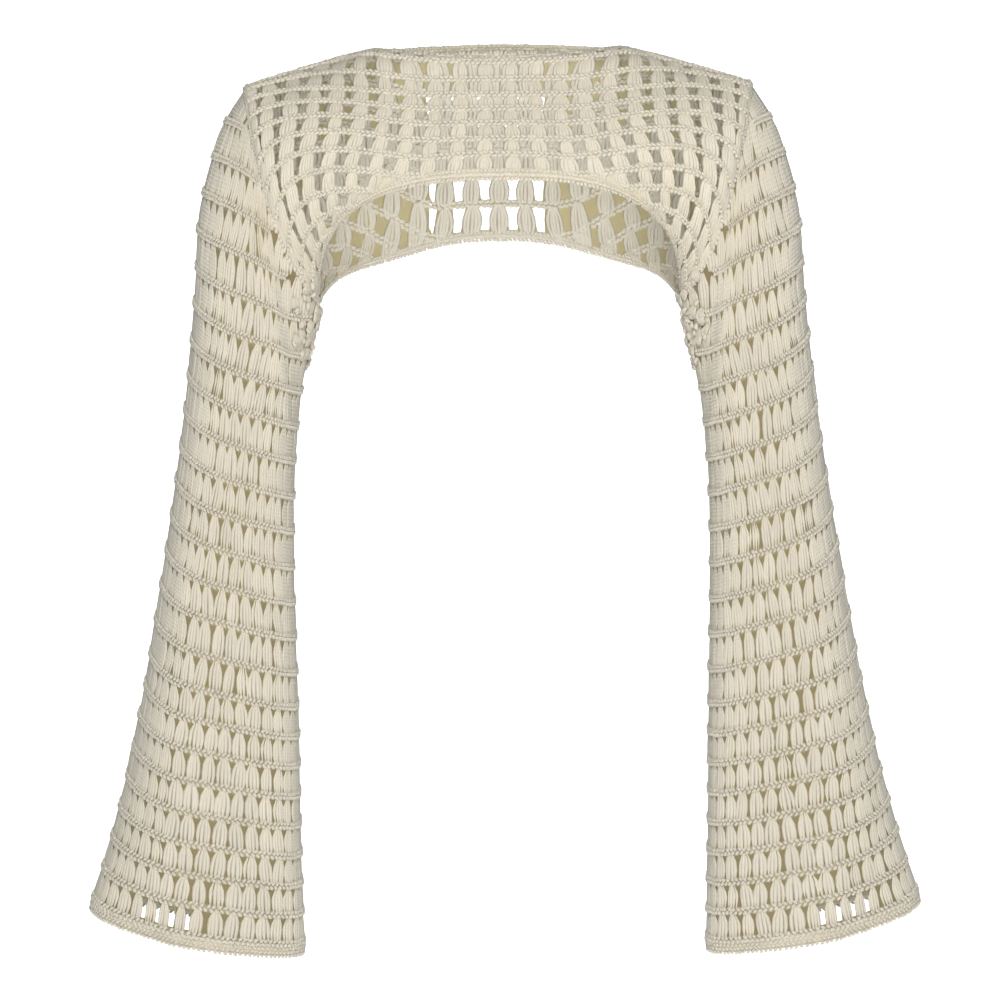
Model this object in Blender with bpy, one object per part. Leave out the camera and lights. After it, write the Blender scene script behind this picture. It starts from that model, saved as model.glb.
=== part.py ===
"""Crochet bolero shrug, worn form with nobody in it, made as the garment is: a cropped front panel
and a longer back panel of open lace, two set-in bell sleeves worked as tubes in slanting rows, and
dense edgings round the neck, the body hem and the cuffs. Lengths in this file are in millimetres.
The origin is the middle of the neck opening; the front faces -Y and +Z is up."""

import math

import bmesh
import bpy
import numpy as np

MM = 0.001

# Cloth
WALL = 2.6
SEAM_GAP = 0.7
SEAM_TAPER = 0.6
EDGING_GAP = 0.55
EDGING_WALL = 3.4
RIDGE_RISE = 1.3

# Armhole, from the shoulder tip down to the underarm
ROWS = 9
ARMHOLE_TOP_Z = -27.0
ARMHOLE_BOTTOM_Z = -182.0
ARMHOLE_DEPTH = 52.0
SHOULDER_TIP_X = 182.0
ARM_MIDDLE = np.array([100.0, 0.0, -120.0])
UNDERARM_X = 132.0
UNDERARM_CURL = 0.25
UNDERARM_PULL = 0.45
CURL_POWER = 4
SEAM_REACH = 12.0

# Neck opening
NECK_HALF_WIDTH = 91.0
NECK_POINT_Z = -1.0
NECK_FADE_WIDTH = 70.0

# Lace of the yoke: one repeat is half a puff, a gap and half a puff
REPEATS = 21
NECK_REPEAT = 5
FIRST_LACE_ROW = 2
GAP_SIDE_TOP = 0.27
GAP_SIDE_BOTTOM = 0.32
GAP_TOP = 0.2
GAP_BOTTOM = 0.85

# Each yoke panel: side of the body, depths of neckline and chest, heights at its centre line, and
# the powers that arch its rows at the shoulder, in the middle and at the hem, and how far the hem
# sags between the underarm and its middle
FRONT = dict(side=-1, neck_depth=62.0, body_depth=95.0, neck_z=-11.0, hem_z=-92.0, fall=1.15,
             arch_top=1.7, arch_middle=1.0, arch_hem=1.0, hem_sag=0.0)
BACK = dict(side=1, neck_depth=58.0, body_depth=92.0, neck_z=5.0, hem_z=-131.0, fall=1.1,
            arch_top=1.7, arch_middle=1.2, arch_hem=1.75, hem_sag=2.5)
BODY_ROUNDNESS = 2.6
NECK_SQUARENESS = 2.4
NECK_ROUNDING = (0.5, 0.7)
CHEST_SPREAD = 0.9
NECK_FADE = 1.3
SHOULDER_SAG = 1.2
SHOULDER_SHARE = 0.3
MIDDLE_SHARE = 0.4
SAG_POWER = 4
SAG_PLACE = 8
CURVE_STEPS = 241

# Edgings
NECK_EDGING_HEIGHT = 5.0
HEM_EDGING_HEIGHT = 6.0
CUFF_EDGING_HEIGHT = 10.0
CUFF_REACH = 8.0
HEM_EDGING_INSET = 2
NECK_CORNER_WAY = np.array([-0.8, 0.0, 0.6])
NECK_CORNER_NORMAL = np.array([0.6, 0.0, 0.8])

# Sleeve, one row for each ring of the tube, by the height of the ring's middle: inner and outer
# edge, the fold that faces front, half the depth, the slopes of the ring towards the outside and
# the back, and how square its inner half and how angular its outer half are
SLEEVE_COLUMNS = ("height", "inner", "outer", "fold", "depth", "slope_out", "slope_back",
                  "inner_power", "outer_power")
SLEEVE_RINGS = (
    (-626.0, 150.0, 302.0, 237.0, 64.0, 0.16, 0.16, 2.8, 1.50),
    (-590.0, 150.0, 289.0, 238.0, 65.0, 0.18, 0.18, 2.8, 1.55),
    (-540.0, 150.5, 275.0, 236.0, 64.0, 0.20, 0.20, 2.7, 1.60),
    (-480.0, 151.0, 262.0, 230.0, 60.0, 0.24, 0.22, 2.6, 1.65),
    (-420.0, 152.0, 251.5, 219.0, 57.0, 0.28, 0.25, 2.5, 1.75),
    (-350.0, 153.5, 240.0, 206.0, 54.0, 0.31, 0.27, 2.3, 1.90),
    (-280.0, 152.5, 230.0, 193.0, 53.0, 0.33, 0.28, 2.2, 2.00),
    (-220.0, 147.0, 223.5, 184.0, 53.0, 0.34, 0.28, 2.2, 2.00),
    (-185.0, 139.0, 220.5, 178.0, 54.0, 0.34, 0.26, 2.2, 2.00),
    (-150.0, 131.0, 218.5, 175.0, 54.0, 0.34, 0.20, 2.2, 2.00),
    (-110.0, 124.0, 218.5, 171.0, 54.0, 0.34, 0.10, 2.2, 2.00),
    (-70.0, 126.0, 220.0, 168.0, 51.0, 0.34, 0.00, 2.2, 2.00),
    (-40.0, 130.0, 205.0, 165.0, 46.0, 0.34, 0.00, 2.2, 2.00),
)
CUFF_ROWS = 8
CUFF_PITCH = 22.0
SLEEVE_ROWS = 25
SLEEVE_PITCH = 25.6
PARTING_ROW = 18
PARTING_GAP = 0.4
BACK_LEAN_TURN = 40.0
CAP_EASE = 110.0
CAP_SOLVE_STEPS = 30
LEVELS_PER_ROW = 2
LAST_LEVEL_SHARE = 0.45
DOWN_STEP = 4.0
INNER_SHARE = 2
WELD = 1e-6

YARN = (0.80, 0.75, 0.64, 1.0)
YARN_SHADED = (0.74, 0.70, 0.60, 1.0)


def clear_scene():
    for obj in list(bpy.data.objects):
        bpy.data.objects.remove(obj, do_unlink=True)


def yarn_material(name, colour):
    material = bpy.data.materials.new(name)
    material.use_nodes = True
    shader = material.node_tree.nodes["Principled BSDF"]
    shader.inputs["Base Color"].default_value = colour
    shader.inputs["Roughness"].default_value = 0.9
    shader.inputs["Metallic"].default_value = 0.0
    return material


def unit(vector):
    return vector / np.linalg.norm(vector)


# ---------------------------------------------------------------- armhole


def armhole_vertex(row, side):
    """Where a row line meets the armhole: row 0 at the shoulder tip, ROWS at the underarm."""
    share = row / ROWS
    angle = math.pi * ((1 - UNDERARM_CURL) * share + UNDERARM_CURL * share**CURL_POWER)
    fall = (1 - math.cos(angle)) / 2
    inwards = (1 - UNDERARM_PULL) * fall + UNDERARM_PULL * fall**CURL_POWER
    x = SHOULDER_TIP_X - (SHOULDER_TIP_X - UNDERARM_X) * inwards
    z = ARMHOLE_TOP_Z + (ARMHOLE_BOTTOM_Z - ARMHOLE_TOP_Z) * fall
    return np.array([x, side * ARMHOLE_DEPTH * math.sin(angle), z])


def along_seam(ends, row):
    """A place for a fraction of a row, on the straight line between two row ends."""
    low = min(int(row), ROWS - 1)
    return ends[low] + (row - low) * (ends[low + 1] - ends[low])


# ---------------------------------------------------------------- yoke panels


def row_curve(panel, row, start):
    """The points of one row of a panel, from its start at the left armhole to the centre line."""
    share = row / ROWS
    side = panel["side"]
    angle = np.linspace(0, math.pi / 2, CURVE_STEPS)
    across = np.cos(angle) ** (2 / BODY_ROUNDNESS)
    forward = np.sin(angle) ** (2 / BODY_ROUNDNESS)
    x = start[0] * across

    spread = math.sin(math.pi / 2 * share) ** CHEST_SPREAD
    blend = min(1.0, share / SHOULDER_SHARE)
    blend = blend * blend * (3 - 2 * blend)
    within_neck = np.clip(x / NECK_HALF_WIDTH, 0, 1)
    fading = np.clip(x / (NECK_HALF_WIDTH + NECK_FADE_WIDTH * blend), 0, 1)
    rounding = NECK_ROUNDING[0] + NECK_ROUNDING[1] * blend
    neckline = side * panel["neck_depth"] * (1 - fading**NECK_SQUARENESS) ** rounding
    chest = side * panel["body_depth"] * spread
    y = neckline * (1 - spread) ** NECK_FADE + start[1] * (1 - forward) + chest * forward

    reach = np.clip((x - NECK_HALF_WIDTH) / (SHOULDER_TIP_X - NECK_HALF_WIDTH), 0, 1)
    shoulder = NECK_POINT_Z + (ARMHOLE_TOP_Z - NECK_POINT_Z) * reach**SHOULDER_SAG
    top = np.where(within_neck < 1,
                   panel["neck_z"] + (NECK_POINT_Z - panel["neck_z"]) * within_neck**2, shoulder)
    centre_z = panel["neck_z"] + (panel["hem_z"] - panel["neck_z"]) * share ** panel["fall"]
    if share < MIDDLE_SHARE:
        arch = panel["arch_top"] + (panel["arch_middle"] - panel["arch_top"]) * share / MIDDLE_SHARE
    else:
        past = (share - MIDDLE_SHARE) / (1 - MIDDLE_SHARE)
        arch = panel["arch_middle"] + (panel["arch_hem"] - panel["arch_middle"]) * past**2
    sag = panel["hem_sag"] * share**SAG_POWER * (1 - forward) * forward**SAG_PLACE
    below = start[2] + (centre_z - start[2]) * (forward**arch - sag)
    z = top * (1 - blend) + below * blend
    return np.column_stack([x, y + side * SEAM_GAP / 2, z])


def at_lengths(curve, lengths):
    """Points of a curve at these distances from its start."""
    steps = np.linalg.norm(np.diff(curve, axis=0), axis=1)
    measured = np.concatenate([[0], np.cumsum(steps)])
    return np.column_stack([np.interp(lengths, measured, curve[:, axis]) for axis in range(3)])


def curve_length(curve):
    return np.linalg.norm(np.diff(curve, axis=0), axis=1).sum()


def panel_row(panel, row, columns, start):
    """One row of a panel at these column numbers, from 0 at the armhole that it starts from."""
    curve = row_curve(panel, row, start)
    length = curve_length(curve)
    half = REPEATS / 2
    folded = np.where(columns <= half, columns, REPEATS - columns)
    if row == 0:
        inside = np.nonzero(curve[:, 0] <= NECK_HALF_WIDTH)[0][0]
        shoulder = curve_length(curve[:inside + 1])
        lengths = np.interp(folded, [0, NECK_REPEAT, half], [0, shoulder, length])
    else:
        lengths = length * folded / half
    points = at_lengths(curve, lengths)
    points[columns > half, 0] *= -1
    return points


def column_lines():
    """Column numbers of the grid: both sides of each gap, the neck points and both armholes."""
    gaps = [repeat + edge for repeat in range(REPEATS) for edge in (GAP_SIDE_TOP, 1 - GAP_SIDE_TOP)]
    return np.array(sorted([0, NECK_REPEAT, REPEATS - NECK_REPEAT, REPEATS] + gaps))


def row_lines():
    gaps = [row + edge for row in range(ROWS) for edge in (GAP_TOP, GAP_BOTTOM)]
    return np.array([0] + gaps + [ROWS])


def narrowed(columns):
    """The columns along the lower edge of a row's gaps, where each gap is narrower."""
    within = columns % 1
    squeeze = GAP_SIDE_BOTTOM - GAP_SIDE_TOP
    return columns + np.where(np.isclose(within, GAP_SIDE_TOP), squeeze,
                              np.where(np.isclose(within, 1 - GAP_SIDE_TOP), -squeeze, 0))


def grid_normals(points, side):
    """Outward normals of a grid of points, rows downwards and columns from right to left."""
    down = np.gradient(points, axis=0)
    across = np.gradient(points, axis=1)
    normals = np.cross(across, down) * side
    return normals / np.linalg.norm(normals, axis=2, keepdims=True)


def seam_frame(row, side):
    """At a row's end: the direction out of the cloth that both walls share, and that into the panel."""
    panel = FRONT if side < 0 else BACK
    before = armhole_vertex(max(row - 1, 0), side)
    after = armhole_vertex(min(row + 1, ROWS), side)
    if row == 0:
        before = armhole_vertex(1, -side)
    if row == ROWS:
        after = armhole_vertex(ROWS - 1, -side)
    column = sleeve_column(row, side)
    below = column_point(column, column["top"] - SEAM_REACH)
    inside = at_lengths(row_curve(panel, row, armhole_vertex(row, side)), np.array([SEAM_REACH]))[0]
    if row in (0, ROWS):
        inside[1] = 0.0
        below[1] = 0.0
    along = unit(after - before)
    normal = unit(np.cross(along, below - inside))
    if normal @ (armhole_vertex(row, side) - ARM_MIDDLE) < 0:
        normal = -normal
    inward = np.cross(along, normal)
    return normal, inward if inward @ (inside - below) > 0 else -inward


def panel_grid(panel):
    """Points and normals of a panel's middle surface."""
    columns = column_lines()
    rows = row_lines()
    narrow = narrowed(columns)
    lower_edges = np.isclose(rows % 1, GAP_BOTTOM)
    frames = [seam_frame(row, panel["side"]) for row in range(ROWS + 1)]
    seam_normals = [normal for normal, _ in frames]
    starts = [armhole_vertex(row, panel["side"]) + inward * SEAM_GAP
              for row, (_, inward) in enumerate(frames)]
    points = np.array([panel_row(panel, row, narrow if low else columns, along_seam(starts, row))
                       for row, low in zip(rows, lower_edges)])
    normals = grid_normals(points, panel["side"])
    for line, row in enumerate(rows):
        normal = unit(along_seam(seam_normals, row))
        normals[line, 0] = normal
        normals[line, -1] = normal * (-1, 1, 1)
    on_shoulder = (columns <= NECK_REPEAT) | (columns >= REPEATS - NECK_REPEAT)
    normals[0, on_shoulder, 1] = 0
    normals[0] /= np.linalg.norm(normals[0], axis=1, keepdims=True)
    return columns, rows, points, normals


def lace_gap(row, column):
    """Whether the cell that starts at this row and column line is a gap of the lace."""
    starts = np.isclose(row % 1, GAP_TOP) and np.isclose(column % 1, GAP_SIDE_TOP)
    return starts and row >= FIRST_LACE_ROW


def finish_object(name, mesh_edit, colour):
    """A named object with its own material, shaded smooth but for its hard edges."""
    bmesh.ops.recalc_face_normals(mesh_edit, faces=mesh_edit.faces[:])
    if mesh_edit.calc_volume(signed=True) < 0:
        bmesh.ops.reverse_faces(mesh_edit, faces=mesh_edit.faces[:])
    mesh = bpy.data.meshes.new(name)
    mesh_edit.to_mesh(mesh)
    mesh_edit.free()
    mesh.materials.append(yarn_material(name + "_yarn", colour))
    mesh.shade_smooth()
    mesh.set_sharp_from_angle(angle=math.radians(40))
    obj = bpy.data.objects.new(name, mesh)
    bpy.context.scene.collection.objects.link(obj)
    return obj


def thicken(mesh_edit, inner, outer):
    """Extrudes an open sheet of faces into a wall; each point's number picks its two places."""
    number = mesh_edit.verts.layers.int["number"]
    sheet = mesh_edit.faces[:] + mesh_edit.edges[:] + mesh_edit.verts[:]
    made = bmesh.ops.extrude_face_region(mesh_edit, geom=sheet, use_keep_orig=True)
    raised = {item for item in made["geom"] if isinstance(item, bmesh.types.BMVert)}
    for vertex in mesh_edit.verts:
        place = outer if vertex in raised else inner
        vertex.co = place[vertex[number]] * MM


def make_panel(name, panel):
    columns, rows, points, normals = panel_grid(panel)
    mesh_edit = bmesh.new()
    number = mesh_edit.verts.layers.int.new("number")
    bmesh.ops.create_grid(mesh_edit, x_segments=len(columns) - 1, y_segments=len(rows) - 1, size=0.5)
    cells = {}
    for vertex in mesh_edit.verts:
        column = round((vertex.co.x + 0.5) * (len(columns) - 1))
        row = round((vertex.co.y + 0.5) * (len(rows) - 1))
        vertex[number] = row * len(columns) + column
    for face in mesh_edit.faces:
        cells[min(vertex[number] for vertex in face.verts)] = face
    gaps = [face for corner, face in cells.items()
            if lace_gap(rows[corner // len(columns)], columns[corner % len(columns)])]
    bmesh.ops.delete(mesh_edit, geom=gaps, context="FACES")
    middle = points.reshape(-1, 3)
    thickness = np.full(points.shape[:2], WALL)
    thickness[:, [0, -1]] *= SEAM_TAPER
    lift = normals.reshape(-1, 3) * thickness.reshape(-1, 1) / 2
    thicken(mesh_edit, middle - lift, middle + lift)
    return finish_object(name, mesh_edit, YARN)


# ---------------------------------------------------------------- sleeves


def ring_sizes(height):
    heights = [row[0] for row in SLEEVE_RINGS]
    return {name: np.interp(height, heights, [row[place] for row in SLEEVE_RINGS])
            for place, name in enumerate(SLEEVE_COLUMNS)}


def lean(across, y, depth):
    """How far a ring's point leans down for its slope to the back: the rows keep falling past the
    front fold to the inner arm, and turn up again before the back fold."""
    if across > 0:
        return y * (1 - y / BACK_LEAN_TURN) if y > 0 else y
    back_fold = depth * (1 - depth / BACK_LEAN_TURN)
    return -depth + (back_fold + depth) * max(0.0, y / depth)


def ring_point(angle, height):
    """A point of the sleeve's tube: angle 0 outside, 90 degrees in front, 180 at the inner arm."""
    ring = ring_sizes(height)
    across = math.cos(angle)
    power = 2 / (ring["outer_power"] if across > 0 else ring["inner_power"])
    reach = ring["outer"] - ring["fold"] if across > 0 else ring["fold"] - ring["inner"]
    x = ring["fold"] + math.copysign(reach * abs(across) ** power, across)
    y = -math.copysign(ring["depth"] * abs(math.sin(angle)) ** power, math.sin(angle))
    middle = (ring["inner"] + ring["outer"]) / 2
    z = height + ring["slope_out"] * (x - middle) + ring["slope_back"] * lean(across, y, ring["depth"])
    return np.array([x, y, z])


def sleeve_column(row, side):
    """One lengthwise line of the sleeve, from the armhole where this row ends down to the cuff."""
    angle = math.pi * row / ROWS * (1 if side < 0 else -1)
    start = armhole_vertex(row, side)
    top = start[2]
    for _ in range(CAP_SOLVE_STEPS):
        top += start[2] - ring_point(angle, top)[2]
    return dict(angle=angle, top=top, shift=start - ring_point(angle, top))


def column_point(column, height):
    """A point of a column, drawn from the tube to the armhole over the last CAP_EASE."""
    ease = max(0.0, 1 - (column["top"] - height) / CAP_EASE)
    return ring_point(column["angle"], height) + column["shift"] * ease * ease * (3 - 2 * ease)


def sleeve_columns():
    front = [(row, -1) for row in range(ROWS + 1)]
    back = [(row, 1) for row in range(ROWS - 1, 0, -1)]
    return front + back


def sleeve_surface(levels):
    """Points and normals of the sleeve for each column and ring, cut off at the armhole, and which
    of them lie on the armhole's seam."""
    ends = sleeve_columns()
    columns = [sleeve_column(*end) for end in ends]
    pitch = levels[-1] - levels[-2]
    heights = np.array([[column["top"] if level > column["top"] - LAST_LEVEL_SHARE * pitch else level
                         for level in levels] for column in columns])
    at_seam = heights >= np.array([[column["top"]] for column in columns])
    points = np.array([[column_point(column, height) for height in line]
                       for column, line in zip(columns, heights)])
    normals = np.zeros_like(points)
    for place, (column, line) in enumerate(zip(columns, heights)):
        ahead = columns[(place + 1) % len(columns)]
        behind = columns[place - 1]
        for ring, height in enumerate(line):
            if at_seam[place, ring]:
                normals[place, ring] = seam_frame(*ends[place])[0]
                continue
            along = (column_point(ahead, min(height, ahead["top"]))
                     - column_point(behind, min(height, behind["top"])))
            down = column_point(column, height - DOWN_STEP) - column_point(column, height)
            normals[place, ring] = unit(np.cross(along, down))
    return points, normals, at_seam


def sleeve_sheet(mesh_edit, levels, rises, offset):
    """Adds one side of the sleeve's wall and returns its lower rim and its upper rim."""
    points, normals, at_seam = sleeve_surface(levels)
    count = len(points)
    lift = np.where(at_seam, offset * SEAM_TAPER, offset + rises)
    places = points + normals * lift[:, :, None]
    made = bmesh.ops.create_grid(mesh_edit, x_segments=count, y_segments=len(levels) - 1, size=0.5)
    column_of = mesh_edit.verts.layers.int["column"]
    ring_of = mesh_edit.verts.layers.int["ring"]
    for vertex in made["verts"]:
        column = round((vertex.co.x + 0.5) * count) % count
        ring = round((vertex.co.y + 0.5) * (len(levels) - 1))
        vertex.co = places[column, ring] * MM
        vertex[column_of] = column
        vertex[ring_of] = ring
    bmesh.ops.remove_doubles(mesh_edit, verts=made["verts"], dist=WELD)
    rims = {}, {}
    for vertex in mesh_edit.verts:
        if vertex.is_boundary and not vertex.tag:
            rims[0 if vertex[ring_of] == 0 else 1][vertex[column_of]] = vertex
            vertex.tag = True
    return rims


def close_rim(mesh_edit, inner, outer):
    """Joins the two sides of the wall along one rim."""
    for column in range(len(inner)):
        beside = (column + 1) % len(inner)
        mesh_edit.faces.new((inner[column], inner[beside], outer[beside], outer[column]))


def row_heights(rows):
    """Heights of the sleeve's row lines, whole or not; the lowest rows are shorter."""
    cuff = np.minimum(rows, CUFF_ROWS) * CUFF_PITCH
    return SLEEVE_RINGS[0][0] + cuff + np.maximum(rows - CUFF_ROWS, 0) * SLEEVE_PITCH


def levels_between(first_row, last_row, levels_per_row):
    """Steps up a stretch of the sleeve and their heights, drawn in where the stretch is parted."""
    steps = np.arange(first_row * levels_per_row, last_row * levels_per_row + 1)
    levels = row_heights(steps / levels_per_row)
    if first_row == PARTING_ROW:
        levels[0] += PARTING_GAP / 2
    else:
        levels[-1] -= PARTING_GAP / 2
    return steps, levels


def make_sleeve(name, mirror, first_row, last_row):
    """One stretch of a sleeve's wall, with a low ridge on each row line outside."""
    outer_steps, outer_levels = levels_between(first_row, last_row, LEVELS_PER_ROW)
    rises = np.where(outer_steps % LEVELS_PER_ROW == 0, RIDGE_RISE, 0.0)
    rises[outer_steps == 0] = 0
    _, inner_levels = levels_between(first_row, last_row, 1 / INNER_SHARE)
    mesh_edit = bmesh.new()
    mesh_edit.verts.layers.int.new("column")
    mesh_edit.verts.layers.int.new("ring")
    outer_rims = sleeve_sheet(mesh_edit, outer_levels, rises, WALL / 2)
    inner_rims = sleeve_sheet(mesh_edit, inner_levels, np.zeros(len(inner_levels)), -WALL / 2)
    for inner, outer in zip(inner_rims, outer_rims):
        close_rim(mesh_edit, inner, outer)
    if mirror:
        bmesh.ops.scale(mesh_edit, vec=(-1, 1, 1), verts=mesh_edit.verts[:])
    return finish_object(name, mesh_edit, YARN)


# ---------------------------------------------------------------- edgings


def make_edging(name, points, normals, directions, height, closed):
    """A band along an edge: it starts a seam's gap from the edge and runs on by its height."""
    mesh_edit = bmesh.new()
    far = EDGING_GAP + height
    corners = ((EDGING_GAP, -1), (EDGING_GAP, 1), (far, 1), (far, -1))
    loops = []
    for point, normal, direction in zip(points, normals, directions):
        loops.append([mesh_edit.verts.new((point + direction * away
                                           + normal * side * EDGING_WALL / 2) * MM)
                      for away, side in corners])
    pairs = list(zip(loops, loops[1:]))
    if closed:
        pairs.append((loops[-1], loops[0]))
    else:
        mesh_edit.faces.new(loops[0])
        mesh_edit.faces.new(loops[-1])
    for this, following in pairs:
        for corner in range(4):
            beside = (corner + 1) % 4
            mesh_edit.faces.new((this[corner], this[beside], following[beside], following[corner]))
    return finish_object(name, mesh_edit, YARN_SHADED)


def edge_directions(edge, inside):
    steps = edge - inside
    return steps / np.linalg.norm(steps, axis=1, keepdims=True)


def make_neck_edging():
    rings = []
    for panel in (FRONT, BACK):
        columns, _, points, normals = panel_grid(panel)
        first = np.nonzero(columns == NECK_REPEAT)[0][0]
        last = np.nonzero(columns == REPEATS - NECK_REPEAT)[0][0]
        directions = edge_directions(points[0], points[1])
        for place, mirror in ((first, (1, 1, 1)), (last, (-1, 1, 1))):
            directions[place] = NECK_CORNER_WAY * mirror
            normals[0, place] = NECK_CORNER_NORMAL * mirror
            points[0, place] += directions[place] * EDGING_GAP
        part = slice(first, last + 1)
        rings.append((points[0, part], normals[0, part], directions[part]))
    (front, front_normals, front_ways), (back, back_normals, back_ways) = rings
    points = np.concatenate([front, back[::-1][1:-1]])
    points[0, 1] = points[len(front) - 1, 1] = 0
    normals = np.concatenate([front_normals, back_normals[::-1][1:-1]])
    directions = np.concatenate([front_ways, back_ways[::-1][1:-1]])
    return make_edging("neck_edging", points, normals, directions, NECK_EDGING_HEIGHT, True)


def make_hem_edging(name, panel):
    _, _, points, normals = panel_grid(panel)
    directions = edge_directions(points[-1], points[-2])
    part = slice(HEM_EDGING_INSET, -HEM_EDGING_INSET)
    return make_edging(name, points[-1, part], normals[-1, part], directions[part],
                       HEM_EDGING_HEIGHT, False)


def make_cuff_edging(name, mirror):
    levels = SLEEVE_RINGS[0][0] + np.array([0.0, CUFF_REACH])
    points, normals, _ = sleeve_surface(levels)
    directions = edge_directions(points[:, 0], points[:, 1])
    flip = np.array([-1 if mirror else 1, 1, 1])
    return make_edging(name, points[:, 0] * flip, normals[:, 0] * flip, directions * flip,
                       CUFF_EDGING_HEIGHT, True)


def main():
    clear_scene()
    make_panel("front_panel", FRONT)
    make_panel("back_panel", BACK)
    make_sleeve("left_sleeve_upper", False, PARTING_ROW, SLEEVE_ROWS)
    make_sleeve("left_sleeve_lower", False, 0, PARTING_ROW)
    make_sleeve("right_sleeve_upper", True, PARTING_ROW, SLEEVE_ROWS)
    make_sleeve("right_sleeve_lower", True, 0, PARTING_ROW)
    make_neck_edging()
    make_hem_edging("front_hem_edging", FRONT)
    make_hem_edging("back_hem_edging", BACK)
    make_cuff_edging("left_cuff_edging", False)
    make_cuff_edging("right_cuff_edging", True)


main()
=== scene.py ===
"""Looks of the crochet bolero shrug. Its cloth is laid out as smooth sheets of the same forms as
the solids, and every stitch is a short cord or a puff of four or five cords placed on them row by
row. Lengths are in millimetres unless a name says otherwise."""

import math

import bmesh
import bpy
import numpy as np
from mathutils import Matrix, Vector


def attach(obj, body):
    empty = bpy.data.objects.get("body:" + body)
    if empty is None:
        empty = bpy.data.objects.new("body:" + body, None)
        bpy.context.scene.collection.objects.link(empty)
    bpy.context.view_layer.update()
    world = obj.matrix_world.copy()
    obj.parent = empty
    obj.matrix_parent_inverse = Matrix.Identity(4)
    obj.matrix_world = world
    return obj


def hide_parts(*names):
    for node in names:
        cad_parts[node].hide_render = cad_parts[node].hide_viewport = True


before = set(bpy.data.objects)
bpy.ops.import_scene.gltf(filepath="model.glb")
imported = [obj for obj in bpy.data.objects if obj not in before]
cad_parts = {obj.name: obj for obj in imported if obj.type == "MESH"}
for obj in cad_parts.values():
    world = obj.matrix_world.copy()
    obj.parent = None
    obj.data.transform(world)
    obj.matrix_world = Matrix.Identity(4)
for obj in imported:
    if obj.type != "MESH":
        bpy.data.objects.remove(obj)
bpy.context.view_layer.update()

MM = 0.001

# ------------------------------------------------------------------ sizes of the garment

ROWS = 9
NECK_SHARE = 5 / 21
NECK_HALF_WIDTH = 91.0
NECK_POINT_Z = -1.0
NECK_FADE_WIDTH = 70.0
NECK_SQUARENESS = 2.4
NECK_ROUNDING = (0.5, 0.7)
NECK_FADE = 1.3
BODY_ROUNDNESS = 2.6
CHEST_SPREAD = 0.9
SHOULDER_SAG = 1.2
SHOULDER_SHARE = 0.3
MIDDLE_SHARE = 0.4
SAG_POWER = 4
SAG_PLACE = 8

# The two panels. net_middle and net_side are half widths of the net's strips in shares of a repeat,
# at the top, middle and foot of a row. open_to says how full the net is where its gaps close.
FRONT = dict(side=-1, neck_depth=62.0, body_depth=95.0, neck_z=-11.0, hem_z=-92.0, fall=1.15,
             arch_top=1.7, arch_middle=1.0, arch_hem=1.0, hem_sag=0.0,
             repeats=21, middle_rows=8, side_rows=12,
             net_middle=(0.1, 0.19, 0.14), net_side=(0.16, 0.24, 0.24), open_to=1.0, lean=0.35,
             closed_rows=0, net_shade=0.5,
             puff_pitch=19.0, puff_lift=-0.2)
# On the back the net is closed in its top closed_rows rows and where it is fullest, a sheet of
# painted shade in place of shaded holes.
BACK = dict(side=1, neck_depth=58.0, body_depth=92.0, neck_z=5.0, hem_z=-131.0, fall=1.1,
            arch_top=1.7, arch_middle=1.2, arch_hem=1.75, hem_sag=2.5,
            repeats=18, middle_rows=7, side_rows=11,
            net_middle=(0.22, 0.3, 0.36), net_side=(0.41, 0.43, 0.44), open_to=0.9, lean=0.1,
            closed_rows=2, net_shade=0.0,
            puff_pitch=17.0, puff_lift=-0.75)

ARMHOLE_TOP_Z = -27.0
ARMHOLE_BOTTOM_Z = -182.0
ARMHOLE_DEPTH = 52.0
SHOULDER_TIP_X = 182.0
UNDERARM_X = 132.0
UNDERARM_CURL = 0.25
UNDERARM_PULL = 0.45
CURL_POWER = 4
CAP_EASE = 110.0
CAP_SOLVE_STEPS = 30

# Sections of the sleeve: height, inner, outer, fold, depth, slope_out, slope_back, inner_power,
# outer_power
SLEEVE_RINGS = (
    (-626.0, 150.0, 302.0, 237.0, 64.0, 0.16, 0.16, 2.8, 1.50),
    (-590.0, 150.0, 289.0, 238.0, 65.0, 0.18, 0.18, 2.8, 1.55),
    (-540.0, 150.5, 275.0, 236.0, 64.0, 0.20, 0.20, 2.7, 1.60),
    (-480.0, 151.0, 262.0, 230.0, 60.0, 0.24, 0.22, 2.6, 1.65),
    (-420.0, 152.0, 251.5, 219.0, 57.0, 0.28, 0.25, 2.5, 1.75),
    (-350.0, 153.5, 240.0, 206.0, 54.0, 0.31, 0.27, 2.3, 1.90),
    (-280.0, 152.5, 230.0, 193.0, 53.0, 0.33, 0.28, 2.2, 2.00),
    (-220.0, 147.0, 223.5, 184.0, 53.0, 0.34, 0.28, 2.2, 2.00),
    (-185.0, 139.0, 220.5, 178.0, 54.0, 0.34, 0.26, 2.2, 2.00),
    (-150.0, 131.0, 218.5, 175.0, 54.0, 0.34, 0.20, 2.2, 2.00),
    (-110.0, 124.0, 218.5, 171.0, 54.0, 0.34, 0.10, 2.2, 2.00),
    (-70.0, 126.0, 220.0, 168.0, 51.0, 0.34, 0.00, 2.2, 2.00),
    (-40.0, 130.0, 205.0, 165.0, 46.0, 0.34, 0.00, 2.2, 2.00),
)
RING_SMOOTHING = 30
SLEEVE_PUFFS = 36
CUFF_ROWS = 8
CUFF_PITCH = 22.0
SLEEVE_ROWS = 25
SLEEVE_PITCH = 25.6
LAST_ROW_SHARE = 0.45
YOKE_LAST_SHARE = 0.22
CAP_SPACING_HEIGHT = -170.0
SIDE_DIP = 0.055
DIP_START = 0.28
PAST_HEM = 1.3
ASIDE_START = 0.2
ASIDE_SPAN = 0.65
CLOSING_START = 0.14
CLOSING_SPAN = 0.2
BUNCHING_START = 0.62
BUNCHING_SPAN = 0.2
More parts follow.
